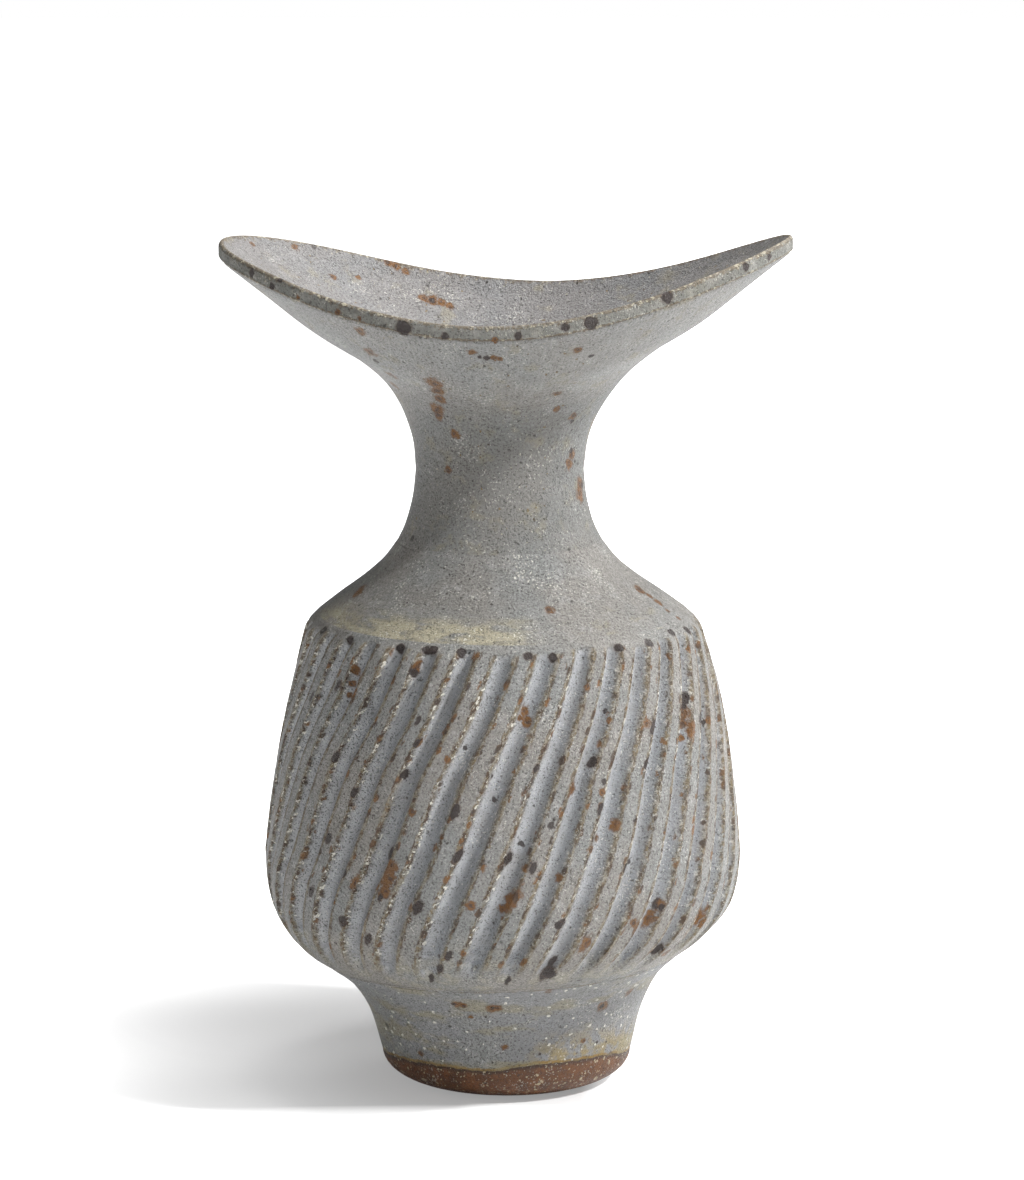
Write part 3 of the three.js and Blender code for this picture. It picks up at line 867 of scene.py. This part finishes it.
bandDark = [
    (252, 273, 1.1), (272, 286, 1), (280, 280, 0.7), (404, 328, 2), (401, 327, 1.7), (445, 336, 1),
    (518, 336, 1.1), (565, 327, 1.2), (591, 323, 1.8), (667, 297, 1.7), (746, 267, 1.2), (769, 257, 1),
]
bandRust = [(298, 297, 0.8), (338, 312, 1), (360, 318, 0.8), (495, 340, 0.8)]
neckLook = {
    "iron": 0.1, "underLipShade": 0.5, "pale": 0.28, "fibres": 0.4, "mauve": 0.45, "olive": 0.35, "band": 0.7,
    "bandEdge": 0.75, "crumbs": 0.7,
}


def neckGlaze(look=neckLook):
    made = Glaze("neck glaze", look["iron"])
    g = made.g
    band, bandEdge, within = [g.attribute(n) for n in ("band", "bandEdge", "within")]

    # Fine pale fibres that follow the meridians where the neck flares
    x, y, z = g.parts(made.place)
    reach = g.reach(x, y)
    fibres = g.noise(g.combine(angleOf(g, x, y) * 1.1, reach * 0.16, z * 0.12), 0.9, 3, 0.65)
    # Painted shade: the narrow neck under the lip is darkened, most where it is narrowest
    made.paint(g.ramp(reach, 36, 25) * look["underLipShade"], "underLipShade")
    fibreShade = g.ramp(fibres, 0.42, 0.7) * (look["fibres"] - within * 0.1)
    made.paint(g.ramp(reach, 27, 42) * ((1 - within) * look["pale"] + fibreShade), "pale")
    made.paint(g.ramp(fibres, 0.42, 0.3) * g.ramp(reach, 28, 48) * 0.2, "pit")
    made.paint(within * look["mauve"], "mauve")
    made.paint(g.blotches(made.place, 7, 0.56, 0.7, 3, 0.6) * look["olive"], "olive")
    made.pepper(g.mix(g.ramp(made.soft, 0.45, 0.5), "pit", "ochre"))

    # The band is duller, mottled with rust along its edges and crumbled with cream
    bandShade = g.mix(g.ramp(made.middle, 0.4, 0.62), "bandDull", "bandPale")
    made.paint(g.ramp(band, 0.4, 0.9) * look["band"], bandShade)
    mottle = g.wander(made.place, 2.4, 1.5, 3, 0.7)
    made.paint(g.ramp(bandEdge + mottle, 0.35, 0.8) * look["bandEdge"], "bandEdge")
    made.specksAndGlints = made.specksAndGlints * 0.6
    crumbs = g.wander(g.aside(made.place, (3, 5, 9)), 3, 1.1)
    made.paint(g.ramp(bandEdge * 0.5 + crumbs, 0.55, 0.8) * look["crumbs"], "cream")
    made.stains = made.stains * (1 - within)
    made.spot()
    return made


shoulderRust = [
    (549, 610, 1.6), (640, 590, 2), (650, 596, 1.3), (658, 602, 1.7), (668, 611, 0.9), (678, 618, 0.8),
    (688, 626, 1.3), (358, 593, 1.8), (362, 588, 1.4),
]
shoulderLook = {"iron": 0.12, "haze": 0.85, "creamTop": 142.5, "creamLow": 137.5, "olive": 0.4}


def shoulderGlaze(look=shoulderLook):
    made = Glaze("shoulder glaze", look["iron"])
    g = made.g
    x, y, z = g.parts(made.place)
    around = angleOf(g, x, y)

    # Cream glaze lies along the lower edge on the left
    low = g.ramp(z + (made.soft - 0.5) * 6, look["creamTop"], look["creamLow"])
    zone = g.ramp(around, -88, -70) * g.ramp(around, 16, -6) * low
    blot = g.noise(g.combine(x * 0.3, y * 0.3, z * 1.1), 2.6, 3, 0.6)
    made.paint(zone * g.ramp(blot, 0.3, 0.6) * look["haze"], "olive")
    made.paint(zone * g.ramp(blot, 0.4, 0.62) * g.ramp(made.fine, 0.3, 0.6, 0.55, 0.9), "cream")
    made.paint(g.ramp(blot, 0.56, 0.7) * g.ramp(z, 146, 137) * look["olive"], "olive")
    made.pepper("pit")
    made.spot()
    return made


footDark = [
    (454, 1004, 0.6), (464, 1006, 0.6), (493, 1008, 0.5), (602, 1006, 0.8), (597, 1042, 0.5),
    (606, 1042, 0.4), (540, 1054, 0.4), (486, 1017, 0.4),
]
footRust = [
    (457, 1004, 1.7), (463, 1005, 1.5), (492, 1008, 1.8), (497, 1008, 1.6), (603, 1006, 2),
    (548, 988, 1.3), (629, 992, 1.5), (421, 1053, 1.1), (505, 1047, 1), (517, 987, 1.2),
    (471, 1017, 0.8), (583, 1041, 0.9),
]
footLook = {
    "iron": 0.1, "line": 8.3, "wave": 2, "ripple": 1.6, "frontRise": 2, "rightRise": 1.6, "blue": 0.6,
    "rim": 0.85, "haze": 0.75, "fog": 0.55, "dots": 0.9, "thickness": 0.9, "grog": 0.4,
}


def footGlaze(look=footLook):
    made = Glaze("foot glaze", look["iron"])
    g = made.g
    x, y, z = g.parts(made.place)
    around = angleOf(g, x, y)

    # The glaze ends in a wavy line above the bare edge, higher at the front and most to the right of it
    level = g.combine(x * 0.07, y * 0.07, 0)
    wave = g.wander(level, look["wave"], 1, 1) + g.wander(made.place, look["ripple"], 4)
    front = g.ramp(g.math("ABSOLUTE", around), 88, 35, 0, look["frontRise"])
    right = g.ramp(around, -6, 8, 0, look["rightRise"]) * g.ramp(around, 85, 45)
    over = z - (look["line"] + wave + front + right)
    inside = g.ramp(g.reach(x, y), 33.5, 32.5) * g.ramp(z, 8.5, 8.9)
    glazed = g.most(g.ramp(over, -0.12, 0.12), inside)
    made.paint(g.ramp(made.soft, 0.36, 0.6) * look["blue"], "blue")
    mottle = g.wander(made.place, 3, 1.6, 3, 0.7)
    made.paint(g.ramp(over + mottle, 1.3, 0.2) * look["rim"], "ochre")
    haze = g.ramp(over, 12, 2) * g.ramp(around, 2, 25) * g.ramp(made.middle, 0.42, 0.56)
    made.paint(haze * look["haze"], "footHaze")
    line = g.ramp(g.math("ABSOLUTE", over - 0.5), 0.6, 0.2) * g.ramp(made.middle, 0.32, 0.46)
    made.paint(line * look["rim"], "footLine")
    fog = g.blotches(g.vector("MULTIPLY", made.place, (0.05, 0.05, 0.14)), 1, 0.48, 0.62, 3, 0.6)
    made.paint(fog * look["fog"], "olive")
    pale = g.dots(g.aside(made.torn, (9, 1, 4)), 2.3, 0.42, 0.25, 0.6, 0.15)
    made.paint(pale * look["dots"], "speckAndGlint")
    made.specksAndGlints = made.specksAndGlints * 0.6
    made.spot()

    # Below the line the clay is bare, with pale grog, and darker along the line
    clayShade = g.mix(g.ramp(made.middle, 0.35, 0.65), "clay", "clayDark")
    clayShade = g.mix(g.ramp(over, -1.6, -0.3) * 0.75, clayShade, "clayRim")
    large = g.dots(made.torn, 2.1, 0.6, 0.26, 0.7, 0.15)
    small = g.dots(g.aside(made.torn, (5, 9, 2)), 1.1, 0.6, 0.15, 0.34, 0.2)
    grog = g.most(large, small)
    clayShade = g.mix(grog * 0.9, clayShade, "grog")
    made.colour = g.mix(glazed, clayShade, made.colour)
    return made, glazed * look["thickness"] + grog * look["grog"]


print("building pieces")
plainMaterial = bpy.data.materials.new("unset")
neckPaint = neckGlaze()
shoulderPaint = shoulderGlaze()
neckPiece = makeNeck(neckPaint.material)
shoulderPiece = makeShoulder(shoulderPaint.material)
neckPaint.mark(neckPaint.torn, found(neckPiece, neckDark + bandDark),
               found(neckPiece, neckRust + insideRust + bandRust))
neckPaint.finish()
shoulderPaint.mark(shoulderPaint.torn, [], found(shoulderPiece, shoulderRust))
shoulderPaint.finish()
footPaint, footRelief = footGlaze()
footPiece = makeFoot(footPaint.material)
footPaint.mark(footPaint.torn, [], found(footPiece, footRust))
footPaint.mark(footPaint.torn, found(footPiece, footDark), [])
footPaint.finish(footRelief)
bodyPiece = makeBody(plainMaterial)
settle(bodyPiece, "fluted_body", plainMaterial)
bodyPiece.data.materials[0] = bodyGlaze(bodyPiece)
bpy.data.materials.remove(plainMaterial)
slipPaint = Glaze("slip glaze", 0.1)
slipPaint.finish()
for name, node, low, high, wall in (
    ("foot_slip_ring", "foot_slip_seam", "footTop", "bodyLow", vase["wall"]),
    ("shoulder_slip_ring", "shoulder_slip_seam", "bodyTop", "shoulderLow", vase["wall"]),
    ("neck_slip_ring", "neck_slip_seam", "shoulderTop", "neckLow", lip["wall"]),
):
    makeSlip(name, node, heights[low], heights[high], wall, slipPaint.material)
print("pieces built")

# Floor: white to the camera where the light reaches it, and where a painted glow clears its shadow; world
# white behind. Lengths are in metres.
stage = {
    "floorSize": 8, "floorShade": 0.86, "seenShade": 0.5, "liftNear": 0.3, "liftFar": 0.5, "near": 0.035,
    "far": 0.085, "fadeStart": 0.08, "fadeEnd": 0.215, "behind": 0.08, "behindShare": 0.2, "rightGlowStart": 0.01,
    "rightGlowEnd": 0.04, "frontStart": 0.026, "frontEnd": 0.046, "shadowClearingGlow": 0.9, "world": 0.16,
}


def seenByCamera(g):
    return g.out("ShaderNodeLightPath", None, None, "Is Camera Ray")


def paperMaterial():
    material = bpy.data.materials.new("paper")
    g = clearedTree(material)
    seen = seenByCamera(g)
    shade = stage["floorShade"] + seen * (stage["seenShade"] - stage["floorShade"])
    diffuse = g.out("ShaderNodeBsdfDiffuse", None, {"Color": g.combine(shade, shade, shade)})
    x, y, _ = g.parts(g.out("ShaderNodeTexCoord", None, None, "Object"))
    distance = g.reach(x, y)
    # Painted light: a glow seen only by the camera lifts the floor's shadow, less behind the vase, clears it
    # to the right and in front, and fades it out away from the vase
    lift = g.ramp(distance, stage["near"], stage["far"], stage["liftNear"], stage["liftFar"])
    lift = lift * g.ramp(y, stage["behind"], 0, stage["behindShare"], 1)
    lift = g.most(lift, g.ramp(x, stage["rightGlowStart"], stage["rightGlowEnd"]) * stage["shadowClearingGlow"])
    lift = g.most(lift, g.ramp(y, -stage["frontStart"], -stage["frontEnd"]) * stage["shadowClearingGlow"])
    lift = (lift + g.ramp(distance, stage["fadeStart"], stage["fadeEnd"])) * seen
    glow = g.out("ShaderNodeEmission", None, {"Color": g.combine(lift, lift, lift)})
    both = g.out("ShaderNodeAddShader", None, {0: diffuse, 1: glow})
    g.node("ShaderNodeOutputMaterial", None, {"Surface": both})
    return material


def makeFloor():
    half = stage["floorSize"] / 2
    mesh = bpy.data.meshes.new("floor")
    corner = [(-half, -half, 0), (half, -half, 0), (half, half, 0), (-half, half, 0)]
    mesh.from_pydata(corner, [], [(0, 1, 2, 3)])
    mesh.materials.append(paperMaterial())
    addObject("floor", mesh)


def makeRoom():
    world = bpy.data.worlds.new("room")
    bpy.context.scene.world = world
    g = clearedTree(world)
    strength = stage["world"] + seenByCamera(g) * (1 - stage["world"])
    background = g.out("ShaderNodeBackground", None, {"Color": (1, 1, 1, 1), "Strength": strength})
    g.node("ShaderNodeOutputWorld", None, {"Surface": background})


# Each lamp: degrees round the vase from the front towards the right, degrees up, metres away, size and power
lampAim = Vector((0, 0, 0.13))
lamps = {
    "key": {"turn": 67, "rise": 43, "far": 1.5, "size": 0.15, "watts": 36.5},
    "top": {"turn": 100, "rise": 80, "far": 1.5, "size": 0.8, "watts": 23},
    "back": {"turn": 135, "rise": 30, "far": 1.5, "size": 1.0, "watts": 10},
    "fill": {"turn": -60, "rise": 16, "far": 1.8, "size": 1.0, "watts": 6.5},
}


def makeLamps():
    for name, lamp in lamps.items():
        data = bpy.data.lights.new(name, "AREA")
        data.shape = "DISK"
        data.size = lamp["size"]
        data.energy = lamp["watts"]
        turn, rise = math.radians(lamp["turn"]), math.radians(lamp["rise"])
        way = Vector((math.sin(turn) * math.cos(rise), -math.cos(turn) * math.cos(rise), math.sin(rise)))
        item = addObject(name, data)
        item.location = lampAim + way * lamp["far"]
        item.rotation_euler = way.to_track_quat("Z", "Y").to_euler()


makeFloor()
makeRoom()
makeLamps()
bpy.context.scene.view_settings.view_transform = "Standard"
print("stage and lamps ready")
